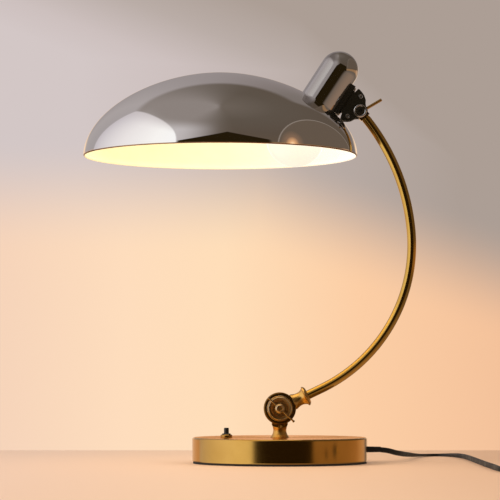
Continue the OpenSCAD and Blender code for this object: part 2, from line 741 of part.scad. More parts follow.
// Half-outline of the cord: [across, up] for each side
function cord_side(n) = [for (i = [0 : n - 1]) let (a = 360 * (i + 0.5) / n)
    [cord_w / 2 * cos(a) / cos(180 / n), cord_t / 2 * sin(a) / cos(180 / n)]];
CORD_8 = cord_side(8);
CORD_6 = [[cord_w / 2, 0], [cord_w / 3.4, cord_t / 2], [-cord_w / 3.4, cord_t / 2],
          [-cord_w / 2, 0], [-cord_w / 3.4, -cord_t / 2], [cord_w / 3.4, -cord_t / 2]];

function unit(v) = v / norm(v);
function side_of(d, roll) = let (s = unit(cross(d, [0, 0, 1])), u = cross(s, d)) cos(roll) * s + sin(roll) * u;
function ring_at(p, d, roll, outline) =
    let (s = side_of(d, roll), u = cross(s, d)) [for (q = outline) p + q[0] * s + q[1] * u];

// One closed tube through rings of the same number of points
module swept(rings) {
    n = len(rings[0]);
    m = len(rings);
    points = [for (r = rings) each r];
    sides = [for (j = [0 : m - 2], i = [0 : n - 1], k = [0, 1])
        let (a = j * n + i, b = j * n + (i + 1) % n, c = a + n, d = b + n) k == 0 ? [a, b, d] : [a, d, c]];
    starts = [for (i = [1 : n - 2]) [0, i + 1, i]];
    ends = [for (i = [1 : n - 2]) [(m - 1) * n, (m - 1) * n + i, (m - 1) * n + i + 1]];
    polyhedron(points = points, faces = concat(sides, starts, ends));
}

// Catmull-Rom curve through the route's points, with the roll as a fourth value
function spline(p, q, r, s, t) = 0.5 * (2 * q + (r - p) * t + (2 * p - 5 * q + 4 * r - s) * t * t
    + (3 * q - p - 3 * r + s) * t * t * t);
function smooth(p, steps) = let (n = len(p) - 1) concat(
    [for (i = [0 : n - 1], k = [0 : steps - 1])
        spline(p[max(i - 1, 0)], p[i], p[i + 1], p[min(i + 2, n)], k / steps)], [p[n]]);
function xyz(p) = [p[0], p[1], p[2]];
function along(p) = [for (i = [0 : len(p) - 1])
    unit(xyz(p[min(i + 1, len(p) - 1)]) - xyz(p[max(i - 1, 0)]))];
function path_length(p, i = 0) = i >= len(p) - 1 ? 0 : norm(xyz(p[i + 1]) - xyz(p[i])) + path_length(p, i + 1);

ROUTE_POINTS = smooth(ROUTE, route_steps);

module power_cord() {
    dirs = along(ROUTE_POINTS);
    first = [cos(exit_angle), sin(exit_angle), 0];
    n = len(ROUTE_POINTS);
    color("#141211") swept([for (i = [0 : n - 1])
        ring_at(xyz(ROUTE_POINTS[i]), i == 0 ? first : i == n - 1 ? [1, 0, 0] : dirs[i],
            ROUTE_POINTS[i][3], CORD_8)]);
}

// Coil: in over the lower layer, a climb where it reverses, and out over the upper layer
function eased(x) = (1 - cos(180 * max(0, min(1, x)))) / 2;
function coil_radius(u) = let (x = abs(u - coil_middle)) coil_r + coil_pitch * (x - coil_middle)
    - coil_dip * (1 - eased((x - 0.17) / climb_turns * 2));
function coil_height(u) = coil_z + coil_step * eased((u - coil_middle) / climb_turns + 0.5);
function coil_point(u) = let (a = -90 + 360 * u) [coil_x + coil_radius(u) * cos(a),
    coil_y + coil_radius(u) * sin(a), coil_height(u)];
COIL = [for (k = [0 : coil_turns * rings_per_turn]) coil_point(k / rings_per_turn)];
coil_end = COIL[len(COIL) - 1];
// From the coil to the back of the plug
plug_x = coil_end[0] + 0.8;
TAIL = [for (y = [8, 16, 24, 32]) [coil_end[0] + 0.8 * eased(y / 32), coil_end[1] + y,
    coil_end[2] + (plug_z - coil_end[2]) * eased(y / 32)]];
COIL_PATH = concat(COIL, TAIL, [[plug_x, plug_y - plug_neck, plug_z]]);

module cord_coil() {
    dirs = along(COIL_PATH);
    n = len(COIL_PATH);
    color("#141211") swept([for (i = [0 : n - 1])
        ring_at(COIL_PATH[i], i == 0 ? [1, 0, 0] : i == n - 1 ? [0, 1, 0] : dirs[i], 0, CORD_6)]);
}

// Least gap between turns that aren't neighbours along the tube
function flat_gap(a, b) = let (h = norm([a[0] - b[0], a[1] - b[1]]), v = abs(a[2] - b[2]))
    max(h - cord_w, v - cord_t);
coil_gaps = [for (i = [0 : len(COIL) - 1]) for (j = [i + 8 : 1 : len(COIL) - 1])
    flat_gap(COIL[i], COIL[j])];
echo(coil_gap_mm = min(coil_gaps));
echo(cord_length_mm = path_length(ROUTE_POINTS) + path_length(COIL_PATH));

module cord_relief() {
    a = exit_angle;
    color("#161514") rotate(a) translate([base_r - relief_in, 0, exit_z]) rotate([0, 90, 0]) {
        cylinder(r = 3.9, h = relief_in + 0.2);
        translate([0, 0, relief_in + 0.05]) cylinder(r = 4.8, h = 1.5);
        translate([0, 0, relief_in + 1]) intersection() {
            cylinder(r1 = 3.1, r2 = 2.8, h = relief_out - 1);
            translate([-10, -2.3, 0]) cube([20, 4.6, relief_out]);
        }
    }
}

module cord_tie() {
    // Strap round the bundle on the coil's left side
    inner = coil_r - coil_pitch * coil_middle - coil_dip - cord_w / 2 - 0.6;
    outer = coil_r + coil_pitch / 2 + cord_w / 2 + 0.6;
    top = coil_z + coil_step + cord_t / 2 + 0.5;
    color("#0e0e0e") translate([coil_x, coil_y, 0]) rotate(135) translate([0, -4, 0]) difference() {
        translate([inner - tie_t, 0, 0]) cube([outer - inner + 2 * tie_t, 8, top + tie_t]);
        translate([inner, -1, tie_t]) cube([outer - inner, 10, top - tie_t]);
    }
}

module plug_body() {
    color("#161514") translate([plug_x, plug_y, plug_z]) {
        intersection() {
            translate([0, 0, -plug_h / 2]) linear_extrude(plug_h) polygon([
                [-4, -plug_neck], [4, -plug_neck], [5, -2], [plug_w / 2 - 1, 6], [plug_w / 2, 12],
                [plug_w / 2, plug_l - 1], [plug_w / 2 - 1, plug_l], [1 - plug_w / 2, plug_l],
                [-plug_w / 2, plug_l - 1], [-plug_w / 2, 12], [1 - plug_w / 2, 6], [-5, -2]]);
            rotate([90, 0, 90]) translate([0, 0, -plug_w / 2]) linear_extrude(plug_w) polygon([
                [-plug_neck, -3], [-plug_neck, 3], [-2, 3.6], [7, plug_h / 2], [plug_l - 1, plug_h / 2],
                [plug_l, plug_h / 2 - 1], [plug_l, 1 - plug_h / 2], [plug_l - 1, -plug_h / 2],
                [7, -plug_h / 2], [-2, -3.6]]);
        }
    }
}

module plug_blades() {
    color("#d0b070") translate([plug_x, plug_y + plug_l, plug_z]) for (x = [-6.35, 6.35])
        translate([x - 0.75, 0, -3.2]) difference() {
            cube([1.5, 17, 6.4]);
            translate([-1, 14, 3.2]) rotate([0, 90, 0]) cylinder(r = 1.6, h = 4, $fn = 24);
        }
}

// ---------------------------------------------------------------- pieces

felt_pad();
base_plate();
base_weight();
base_screws();
base_cover();
foot_nipple();
foot_washer();
foot_nut();
lower_knuckle();
friction_washer();
knuckle_nut();
switch_body();
switch_nut();
switch_collar();
switch_button();
base_lead();
cord_relief();
power_cord();
cord_coil();
cord_tie();
plug_body();
plug_blades();
arm_knuckle();
arm_tube();
arm_lead();
arm_tip();
clamp_screw();
clamp_disc();
tommy_bar();
shade();
socket_housing();
housing_ring();
lampholder();
lampholder_shell();
lampholder_contact();
bulb_cap();
bulb_tip();
bulb_glass();
head_lead();
bracket_saddle();
bracket_front();
bracket_rear();
bracket_screws();
saddle_screws();
pivot_bolt();
pivot_ring();
lever_nut();
lever_rod();
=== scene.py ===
import math

import bpy
from mathutils import Matrix, Vector


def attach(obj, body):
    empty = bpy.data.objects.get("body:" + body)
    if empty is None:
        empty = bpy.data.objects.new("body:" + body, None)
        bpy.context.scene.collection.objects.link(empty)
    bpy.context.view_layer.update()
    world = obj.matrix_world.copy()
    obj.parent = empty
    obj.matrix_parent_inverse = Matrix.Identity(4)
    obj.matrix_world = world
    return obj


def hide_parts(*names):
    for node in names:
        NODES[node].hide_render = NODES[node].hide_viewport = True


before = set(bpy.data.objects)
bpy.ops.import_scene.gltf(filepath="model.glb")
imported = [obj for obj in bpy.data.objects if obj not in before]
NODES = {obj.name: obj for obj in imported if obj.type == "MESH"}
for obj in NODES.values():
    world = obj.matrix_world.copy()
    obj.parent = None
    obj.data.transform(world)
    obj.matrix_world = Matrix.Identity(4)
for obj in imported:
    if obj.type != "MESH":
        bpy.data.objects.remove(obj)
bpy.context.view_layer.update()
MM = 0.001

# ------------------------------------------------------------------ values shared with the part's source, in mm

BASE_R, BASE_H = 89.0, 26.2
JOINT_Z = 55.5
HUB_R, HUB_H1 = 4.6, 16.0
ARM_R = 4.6                                # the photo's tube, a little thicker than the part's
TUBE_START, TIP_GAP = 20.1, 9.6            # from the knuckle's axis to the tube, and from its end to the pivot
NECK_ANGLE, ARM_RUN = 25.5, 46.7
BOW = (163.1, 71.2, 2.0, 213.0, 34.5)      # lower radius, its sweep, straight run, upper radius, its sweep
SHADE_R, SHADE_H, SHADE_T, DOME_N = 140.0, 84.6, 1.0, 1.85
HOUSING_R, HOUSING_H, HOUSING_T = 19.5, 58.0, 0.9
SOCKET_ANGLE = 57.0
CORD_W, CORD_T = 5.4, 3.0
EXIT_ANGLE, EXIT_Z = 10.0, 13.4
RELIEF_OUT = 16                            # strain relief outside the base
BULB_R, BULB_SEAT, BULB_L = 30, 35.4, 110
COIL_X, COIL_Y, COIL_R, COIL_PITCH, COIL_STEP = 262, -203, 39.5, 5.9, 3.6
COIL_TURNS, COIL_MIDDLE, CLIMB, DIP = 5.25, 2.5, 0.5, 2.2
COIL_Z = CORD_T / 2 + 0.7
PLUG_Y, PLUG_Z, PLUG_NECK = -146, 6.2, 10

# ------------------------------------------------------------------ values of the scene's own forms, in mm

RIM = 1.1                                  # radius of the shade's rolled edge
CORD_GROOVE = 0.32
COIL_PARTS, ROUTE_PARTS = 48, 5            # steps in a turn of the coil, and between two points of the route


def cosd(a):
    return math.cos(math.radians(a))


def sind(a):
    return math.sin(math.radians(a))


BOW1 = (ARM_RUN * cosd(NECK_ANGLE) - BOW[0] * sind(NECK_ANGLE),
        JOINT_Z + ARM_RUN * sind(NECK_ANGLE) + BOW[0] * cosd(NECK_ANGLE))
BOW1_A0 = NECK_ANGLE - 90
BOW1_A1 = BOW1_A0 + BOW[1]
BOW2 = (BOW1[0] + (BOW[0] - BOW[3]) * cosd(BOW1_A1) - BOW[2] * sind(BOW1_A1),
        BOW1[1] + (BOW[0] - BOW[3]) * sind(BOW1_A1) + BOW[2] * cosd(BOW1_A1))
PIVOT_A = BOW1_A1 + BOW[4]
PIVOT = (BOW2[0] + BOW[3] * cosd(PIVOT_A), BOW2[1] + BOW[3] * sind(PIVOT_A))
SHADE_X, SHADE_Z = PIVOT[0] - 143.0, PIVOT[1] - 45.6
SOCKET = (PIVOT[0] - 42.1, PIVOT[1] + 10.2)

# ------------------------------------------------------------------ camera

cam_data = bpy.data.cameras.new("camera")
cam_data.lens = 161.1
cam_data.sensor_width = 36
cam = bpy.data.objects.new("camera", cam_data)
cam.location = (-0.0303, -2.283, 0.0889)
cam.rotation_euler = (math.radians(93.212), 0, 0)
bpy.context.scene.collection.objects.link(cam)
bpy.context.scene.camera = cam
bpy.context.scene.view_settings.view_transform = "Standard"

# ------------------------------------------------------------------ node helpers


def colour(r, g, b):
    """sRGB 0..255 to linear."""
    return [c / 12.92 if c <= 0.04045 else ((c + 0.055) / 1.055) ** 2.4 for c in (r / 255, g / 255, b / 255)] + [1]


class Graph:
    """A few words for building node trees."""

    def __init__(self, tree):
        self.t = tree
        tree.nodes.clear()

    def n(self, kind, **kw):
        node = self.t.nodes.new(kind)
        for k, v in kw.items():
            setattr(node, k, v)
        return node

    def put(self, socket, v):
        """Link or set a socket. None leaves it as it is."""
        if v is None:
            return
        if isinstance(v, bpy.types.NodeSocket):
            self.t.links.new(v, socket)
        else:
            socket.default_value = v

    def m(self, op, a, b=None, c=None, clamp=False):
        """One step of arithmetic."""
        node = self.n("ShaderNodeMath", operation=op, use_clamp=clamp)
        for i, v in enumerate((a, b, c)):
            self.put(node.inputs[i], v)
        return node.outputs[0]

    def times(self, *factors, clamp=False):
        """Product of all the factors."""
        out = factors[0]
        for f in factors[1:-1]:
            out = self.m("MULTIPLY", out, f)
        return self.m("MULTIPLY", out, factors[-1], clamp=clamp)

    def mix(self, f, a, b):
        """Colour a where the factor is 0, b where it is 1."""
        node = self.n("ShaderNodeMix", data_type="RGBA")
        self.put(node.inputs["Factor"], f)
        self.put(node.inputs[6], a)
        self.put(node.inputs[7], b)
        return node.outputs[2]

    def ramp(self, f, *stops):
        """Colours or greys along 0..1, as (position, colour) stops."""
        node = self.n("ShaderNodeValToRGB")
        self.put(node.inputs[0], f)
        el = node.color_ramp.elements
        while len(el) < len(stops):
            el.new(0.5)
        for e, (p, c) in zip(el, stops):
            e.position = p
            e.color = c if hasattr(c, "__len__") else (c, c, c, 1)
        return node.outputs[0]

    def step(self, v, edge, width):
        """0 below the edge, 1 above it, softened over width. The edge is a number or a socket."""
        node = self.n("ShaderNodeMapRange", interpolation_type="SMOOTHSTEP")
        self.put(node.inputs["Value"], v)
        for key, shift in (("From Min", -width / 2), ("From Max", width / 2)):
            moved = self.m("ADD", edge, shift) if isinstance(edge, bpy.types.NodeSocket) else edge + shift
            self.put(node.inputs[key], moved)
        return node.outputs["Result"]

    def below(self, v, edge, width):
        """1 below the edge, 0 above it, softened over width."""
        return self.m("SUBTRACT", 1, self.step(v, edge, width))

    def band(self, v, low, high, soft_low, soft_high):
        """1 between two edges, each softened over its own width."""
        return self.m("MULTIPLY", self.step(v, low, soft_low), self.below(v, high, soft_high))

    def noise(self, vector, scale, detail=3, rough=0.5):
        node = self.n("ShaderNodeTexNoise")
        self.put(node.inputs["Vector"], vector)
        for k, v in (("Scale", scale), ("Detail", detail), ("Roughness", rough)):
            node.inputs[k].default_value = v
        return node.outputs["Fac"]

    def stretched(self, vector, scale):
        node = self.n("ShaderNodeMapping")
        self.put(node.inputs["Vector"], vector)
        node.inputs["Scale"].default_value = scale
        return node.outputs[0]

    def away_from(self, point):
        """Distance on the object from a point, in metres."""
        node = self.n("ShaderNodeVectorMath", operation="DISTANCE")
        self.put(node.inputs[0], self.place())
        node.inputs[1].default_value = point
        return node.outputs["Value"]

    def xyz(self, vector):
        node = self.n("ShaderNodeSeparateXYZ")
        self.put(node.inputs[0], vector)
        return node.outputs

    def bump(self, height, strength, distance, normal=None):
        node = self.n("ShaderNodeBump")
        self.put(node.inputs["Height"], height)
        node.inputs["Strength"].default_value = strength
        node.inputs["Distance"].default_value = distance
        self.put(node.inputs["Normal"], normal)
        return node.outputs[0]

    def place(self):
        """Position on the object, in metres."""
        return self.n("ShaderNodeTexCoord").outputs["Object"]


def material(name, base, metallic=0.0, roughness=0.4, **sockets):
    """A new material, its graph and its shader, with the shader's sockets set."""
    mat = bpy.data.materials.new(name)
    mat.use_nodes = True
    g = Graph(mat.node_tree)
    out = g.n("ShaderNodeOutputMaterial")
    bsdf = g.n("ShaderNodeBsdfPrincipled")
    g.t.links.new(bsdf.outputs[0], out.inputs[0])
    bsdf.inputs["Base Color"].default_value = base
    bsdf.inputs["Metallic"].default_value = metallic
    bsdf.inputs["Roughness"].default_value = roughness
    for k, v in sockets.items():
        bsdf.inputs[k.replace("_", " ")].default_value = v
    return mat, g, bsdf


# ------------------------------------------------------------------ mesh helpers

# Frames of the knuckle, with z towards the viewer, of the lampholder, with z up its axis, and of the dome
LOWER = Matrix(((1, 0, 0, 0), (0, 0, -1, 0), (0, 1, 0, JOINT_Z), (0, 0, 0, 1)))
AT_SOCKET = Matrix(((sind(SOCKET_ANGLE), 0, cosd(SOCKET_ANGLE), SOCKET[0]), (0, 1, 0, 0),
                    (-cosd(SOCKET_ANGLE), 0, sind(SOCKET_ANGLE), SOCKET[1]), (0, 0, 0, 1)))
AT_SHADE = Matrix.Translation((SHADE_X, 0, SHADE_Z))
HERE = Matrix.Identity(4)


def piece(name, verts, faces, mats, body, replaces=(), slot=None, sharp=35, place=HERE, which=None):
    """A mesh from points in mm, set in the lamp's frame by place."""
    mesh = bpy.data.meshes.new(name)
    mesh.from_pydata([(place @ Vector(v)) * MM for v in verts], [], faces)
    mesh.update()
    for mat in mats if isinstance(mats, (list, tuple)) else [mats]:
        mesh.materials.append(mat)
    if which:
        for p, w in zip(mesh.polygons, which):
            p.material_index = w
    mesh.polygons.foreach_set("use_smooth", [True] * len(mesh.polygons))
    if sharp:
        mesh.set_sharp_from_angle(angle=math.radians(sharp))
    obj = bpy.data.objects.new(name, mesh)
    bpy.context.scene.collection.objects.link(obj)
    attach(obj, body)
    if replaces:
        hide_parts(*replaces)
    return obj


def rings_mesh(rings, caps=True):
    """Verts and faces of a skin over rings of equal point counts."""
    n, m = len(rings[0]), len(rings)
    verts = [p for r in rings for p in r]
    faces = []
    for j in range(m - 1):
        for i in range(n):
            a, b = j * n + i, j * n + (i + 1) % n
            faces.append((a, b, b + n, a + n))
    if caps:
        faces.append(tuple(range(n - 1, -1, -1)))
        faces.append(tuple((m - 1) * n + i for i in range(n)))
    return verts, faces


def revolve_mesh(profile, segs=96):
    """A closed or axis-to-axis profile [(r, h), ...] turned about z. Runs so that the outside is to its right."""
    verts, faces, rows = [], [], []
    for r, h in profile:
        if r < 1e-6:
            rows.append([len(verts)] * segs)
            verts.append((0, 0, h))
        else:
            rows.append(list(range(len(verts), len(verts) + segs)))
            verts += [(r * math.cos(2 * math.pi * i / segs), r * math.sin(2 * math.pi * i / segs), h)
                      for i in range(segs)]
    loop = profile[0][0] > 1e-6 or profile[-1][0] > 1e-6
    for j in range(len(rows) if loop else len(rows) - 1):
        a, b = rows[j], rows[(j + 1) % len(rows)]
        for i in range(segs):
            k = (i + 1) % segs
            f = []
            for v in (a[i], a[k], b[k], b[i]):
                if v not in f:
                    f.append(v)
            if len(f) > 2:
                faces.append(tuple(f))
    return verts, faces


def arc(cx, cy, r, a0, a1, n):
    """n + 1 points on a circle between two angles in degrees."""
    return [(cx + r * cosd(a0 + (a1 - a0) * i / n), cy + r * sind(a0 + (a1 - a0) * i / n)) for i in range(n + 1)]


def turned(name, profile, mats, body, **kw):
    return piece(name, *revolve_mesh(profile), mats, body, **kw)


def catmull(points, steps):
    """A smooth curve through the points, in steps between each two."""
    out = []
    n = len(points) - 1
    for i in range(n):
        p, q, r, s = (Vector(points[max(i - 1, 0)]), Vector(points[i]), Vector(points[i + 1]),
                      Vector(points[min(i + 2, n)]))
        for k in range(steps):
            t = k / steps
            out.append(0.5 * (2 * q + (r - p) * t + (2 * p - 5 * q + 4 * r - s) * t * t
                              + (3 * q - p - 3 * r + s) * t ** 3))
    out.append(Vector(points[-1]))
    return out


# ------------------------------------------------------------------ materials


def chrome_material(name, tint, wave=0.06):
    """Mirror plating with faint smudges and the slow waves of spun sheet."""
    mat, g, s = material(name, tint, 1.0, 0.03)
    p = g.place()
    smudge = g.noise(p, 22, 4, 0.6)
    g.put(s.inputs["Roughness"], g.ramp(smudge, (0.35, 0.018), (0.75, 0.05)))
    g.put(s.inputs["Normal"], g.bump(g.noise(p, 14, 1, 0.3), wave, 0.0012))
    return mat, g, s


def shade_material():
    """The shade's plating, with a painted glint: a warm glow on the front of the rim, where the lamp inside catches
    its edge.
    """
    mat, g, s = chrome_material("shade_chrome", (0.93, 0.915, 0.91, 1))
    # Painted glint: the plating glows warm within about 14 mm of a point on the front of the rim
    g.put(s.inputs["Emission Color"], g.ramp(
        g.m("MULTIPLY", g.away_from((0.0112, -0.1205, 0.3128)), 64, clamp=True),
        (0.0, (1.0, 0.72, 0.42, 1)), (0.22, (0.62, 0.30, 0.12, 1)), (0.5, (0.10, 0.045, 0.02, 1)), (0.9, 0.0)))
    s.inputs["Emission Strength"].default_value = 1.0
    return mat


def housing_material():
    """The housing's plating, darker and duller on the side away from the arm; the darkening is painted shade."""
    mat, g, s = chrome_material("housing_chrome", (0.80, 0.785, 0.775, 1), 0.04)
    facing = g.xyz(g.n("ShaderNodeTexCoord").outputs["Normal"])[0]
    turn = g.m("MULTIPLY_ADD", facing, 0.5, 0.5)
    # Painted shade: darker colour where the plating faces away from the arm
    g.put(s.inputs["Base Color"], g.ramp(turn, (0.08, (0.62, 0.60, 0.59, 1)), (0.2, (0.40, 0.37, 0.36, 1)),
                                         (0.35, (0.46, 0.43, 0.42, 1)), (0.46, (0.80, 0.785, 0.775, 1))))
    g.put(s.inputs["Roughness"], g.ramp(turn, (0.33, 0.17), (0.42, 0.03)))
    return mat


def brass_material(name, dark, light, rough, grain=0.0, aniso=0.0, axis="Z", scale=1.0, edge=0.0,
                   sheen=(1, 1, 1, 1)):
    """Brass, darker in clouds where it has aged, with fine lines round an axis."""
    mat, g, s = material(name, light, 1.0, rough, Anisotropic=aniso, Specular_Tint=sheen)
    p = g.place()
    cloud = g.noise(p, 38 * scale, 4, 0.55)
    g.put(s.inputs["Base Color"], g.ramp(cloud, (0.34, dark), (0.6, light)))
    g.put(s.inputs["Roughness"], g.ramp(cloud, (0.3, rough * 1.15), (0.7, rough * 0.88)))
    normal = None
    if aniso:
        g.put(s.inputs["Tangent"], g.n("ShaderNodeTangent", direction_type="RADIAL", axis=axis).outputs[0])
    if edge:
        bevel = g.n("ShaderNodeBevel", samples=4)
        bevel.inputs["Radius"].default_value = edge
        normal = bevel.outputs[0]
    if grain:
        lines = g.noise(g.stretched(p, (1, 1, 45) if axis == "Z" else (1, 45, 1)), 70, 3, 0.6)
        normal = g.bump(lines, grain, 0.0001, normal)
    g.put(s.inputs["Normal"], normal)
    return mat


def plastic_material(name, base, rough, bump, scale, coat=0.0):
    """Plastic, paint, felt or glaze: a fine grain over slow changes of shade."""
    mat, g, s = material(name, base, 0.0, rough)
    s.inputs["Coat Weight"].default_value = coat
    s.inputs["Coat Roughness"].default_value = 0.08
    p = g.place()
    grain = g.noise(p, scale, 3, 0.55)
    shade = g.noise(p, scale * 0.08, 3, 0.5)
    g.put(s.inputs["Base Color"], g.mix(shade, [c * 0.75 for c in base[:3]] + [1],
                                        [min(c * 1.35, 1) for c in base[:3]] + [1]))
    g.put(s.inputs["Roughness"], g.ramp(shade, (0.3, rough * 0.85), (0.7, min(rough * 1.2, 1))))
    g.put(s.inputs["Normal"], g.bump(grain, bump, 0.0002))
    return mat


def enamel_material():
    """White enamel inside the shade, with the lit bulb's warm light on it painted in as a glow."""
    mat, g, s = material("shade_enamel", (0.90, 0.87, 0.74, 1), 0.0, 0.35)
    p = g.place()
    g.put(s.inputs["Base Color"], g.ramp(g.noise(p, 30, 3, 0.5), (0.35, (0.84, 0.79, 0.62, 1)),
                                         (0.65, (0.88, 0.84, 0.68, 1))))
    # Painted light: the enamel glows, whitest near the bulb and yellower further from it
    g.put(s.inputs["Emission Color"], g.ramp(
        g.m("MULTIPLY", g.away_from((0.016, 0, 0.332)), 5.0),
        (0.3, colour(255, 254, 252)), (0.5, colour(255, 250, 230)), (0.75, colour(253, 242, 200)),
        (1.0, colour(247, 232, 170))))
    s.inputs["Emission Strength"].default_value = 0.58
    g.put(s.inputs["Normal"], g.bump(g.noise(p, 240, 3, 0.5), 0.12, 0.0003))
    return mat


def bulb_material():
    """Opal glass, lit from inside."""
    mat, g, s = material("bulb_opal", (0.36, 0.34, 0.28, 1), 0.0, 0.18)
    p = g.place()
    g.put(s.inputs["Emission Color"], g.ramp(g.noise(p, 20, 2, 0.5), (0.3, (1.0, 0.95, 0.80, 1)),
                                             (0.7, (1.0, 0.97, 0.86, 1))))
    s.inputs["Emission Strength"].default_value = 0.78
    g.put(s.inputs["Normal"], g.bump(g.noise(p, 400, 2, 0.5), 0.05, 0.0002))
    return mat


CHROME = shade_material()
CHROME_HOUSING = housing_material()
CHROME_SMALL = chrome_material("small_chrome", (0.80, 0.79, 0.78, 1), 0.02)[0]
BRASS_COVER = brass_material("cover_brass", (0.66, 0.375, 0.085, 1), (0.73, 0.43, 0.11, 1), 0.14, 0.05, 0.5, scale=0.6)
# Painted light: a brighter copy of the cover's brass for the flat top
BRASS_TOP_PAINTED_LIGHT = brass_material("top_brass_painted_light", (0.93, 0.53, 0.14, 1), (1.0, 0.63, 0.19, 1), 0.21, 0.03, 0.5, scale=0.6,
                           sheen=(0.90, 0.50, 0.14, 1))
BRASS_TUBE = brass_material("tube_brass", (0.66, 0.38, 0.08, 1), (0.74, 0.45, 0.10, 1), 0.13)
BRASS_CAST = brass_material("cast_brass", (0.80, 0.43, 0.10, 1), (0.92, 0.55, 0.16, 1), 0.28, scale=1.2, edge=0.0004)
# Painted dark reflection: a darkened copy of the brass for the knuckle's outer ring
BRASS_RING_PAINTED_SHADE = brass_material("ring_brass", (0.19, 0.092, 0.02, 1), (0.27, 0.138, 0.034, 1), 0.32, 0.03, 0.4, "Y", 1.6)
# Painted highlight: a pale, bright copy of the brass for the beads on the disc and the screw
BRASS_BEAD_PAINTED_HIGHLIGHT = brass_material("bead_brass", (0.98, 0.72, 0.42, 1), (1.0, 0.82, 0.54, 1), 0.36)
RIM_COPPER = brass_material("rim_copper", (0.34, 0.19, 0.10, 1), (0.46, 0.27, 0.15, 1), 0.22)
BRASS_DISC = brass_material("disc_brass", (0.50, 0.262, 0.07, 1), (0.63, 0.345, 0.10, 1), 0.34, 0.04, 0.4, "Y", 1.6,
                            0.0003)
BRASS_DARK = brass_material("dark_brass", (0.50, 0.32, 0.14, 1), (0.64, 0.44, 0.22, 1), 0.26, scale=3)
BRASS_LEVER = brass_material("lever_brass", (0.44, 0.25, 0.06, 1), (0.58, 0.35, 0.10, 1), 0.22, scale=3, edge=0.0003)
BLACK_PAINT = plastic_material("bracket_black", (0.012, 0.0095, 0.0035, 1), 0.36, 0.0, 500)
BLACK_PLASTIC = plastic_material("switch_black", (0.012, 0.011, 0.010, 1), 0.34, 0.12, 900)
CORD_BLACK = plastic_material("cord_black", (0.009, 0.007, 0.005, 1), 0.55, 0.1, 1100)
PAD_BLACK = plastic_material("pad_felt", (0.02, 0.017, 0.014, 1), 0.95, 0.9, 1600)
STEEL = brass_material("fastener_steel", (0.42, 0.41, 0.40, 1), (0.62, 0.61, 0.59, 1), 0.3, scale=3, edge=0.0004)
FIBRE = plastic_material("washer_fibre", (0.10, 0.05, 0.025, 1), 0.8, 0.6, 1200)
CERAMIC = plastic_material("holder_ceramic", (0.78, 0.74, 0.66, 1), 0.22, 0.08, 300, 0.4)
LEAD = plastic_material("lead_cream", (0.72, 0.68, 0.58, 1), 0.45, 0.2, 900)
IRON = plastic_material("weight_iron", (0.05, 0.05, 0.05, 1), 0.7, 0.8, 400)
CAP_METAL = brass_material("cap_aluminium", (0.60, 0.60, 0.61, 1), (0.80, 0.80, 0.81, 1), 0.3, scale=3)
ENAMEL = enamel_material()
BULB = bulb_material()

# ------------------------------------------------------------------ cord, first, with its plug

exit_x = (BASE_R + RELIEF_OUT) * cosd(EXIT_ANGLE)
exit_y = (BASE_R + RELIEF_OUT) * sind(EXIT_ANGLE)
# From the strain relief over the table to the coil: x, y, z and the flat cord's roll in degrees
ROUTE = [
    (exit_x, exit_y, EXIT_Z - 0.4, 90), (exit_x + 5, exit_y + 1, EXIT_Z - 0.9, 90), (113, 22, 11.6, 88),
    (120, 31, 9.6, 84), (126, 45, 8.2, 76), (132, 72, 6.6, 62), (138, 100, 5.2, 46), (144, 126, 3.8, 28),
    (151, 150, 2.7, 12), (158, 170, 2, 2), (167, 186, 1.6, 0), (178, 189, 1.6, 4), (187, 180, 1.9, 16),
    (193, 160, 2.3, 38), (197, 130, 2.7, 60), (199, 95, 2.8, 76), (199.5, 50, 2.8, 86), (199.5, 0, 2.75, 90),
    (199.5, -50, 2.75, 90), (199.5, -100, 2.75, 90), (200, -140, 2.75, 90), (200.2, -180, 2.85, 84),
    (200.5, -209, 2.85, 64), (205, -225, 2.4, 40), (215, -237, 2.2, 18), (230.5, -242.2, 2.2, 4),
    (246, -242.5, COIL_Z, 0), (COIL_X, COIL_Y - COIL_R, COIL_Z, 0)]


def eased(x):
    """0 to 1 over x from 0 to 1, level at both ends."""
    return (1 - cosd(180 * max(0, min(1, x)))) / 2


def coil_point(u):
    """The coil after u turns: inwards on the lower layer, a climb, and outwards on the upper one."""
    x = abs(u - COIL_MIDDLE)
    r = COIL_R + COIL_PITCH * (x - COIL_MIDDLE) - DIP * (1 - eased((x - 0.17) / CLIMB * 2))
    a = -90 + 360 * u
    z = COIL_Z + COIL_STEP * eased((u - COIL_MIDDLE) / CLIMB + 0.5)
    return COIL_X + r * cosd(a), COIL_Y + r * sind(a), z, 0


coil = [coil_point(k / COIL_PARTS) for k in range(int(COIL_TURNS * COIL_PARTS) + 1)]
end_x, end_y, end_z, _ = coil[-1]
SHIFT, TAIL = 0.8, 32                      # how far the cord moves sideways on its way up to the plug, and its length
tail = [(end_x + SHIFT * eased(y / TAIL), end_y + y, end_z + (PLUG_Z - end_z) * eased(y / TAIL), 0)
        for y in range(4, TAIL + 1, 4)]
CORD_PATH = [tuple(p) for p in catmull(ROUTE, ROUTE_PARTS)[:-1]] + coil + tail
CORD_PATH.append((end_x + SHIFT, PLUG_Y - PLUG_NECK + 1, PLUG_Z, 0))


def twin_outline(w, t, groove, n=7):
    """Flat cord of two cores: two round sides with a shallow groove between them."""
    c = w / 2 - t / 2
    right = [(c + t / 2 * cosd(a), t / 2 * sind(a)) for a in [-100 + 200 * i / n for i in range(n + 1)]]
    left = [(-x, -y) for x, y in right]
    return right + [(0, t / 2 - groove)] + left + [(0, groove - t / 2)]


def heading(path, i):
    """Direction of a path at its point i."""
    return (Vector(path[min(i + 1, len(path) - 1)][:3]) - Vector(path[max(i - 1, 0)][:3])).normalized()


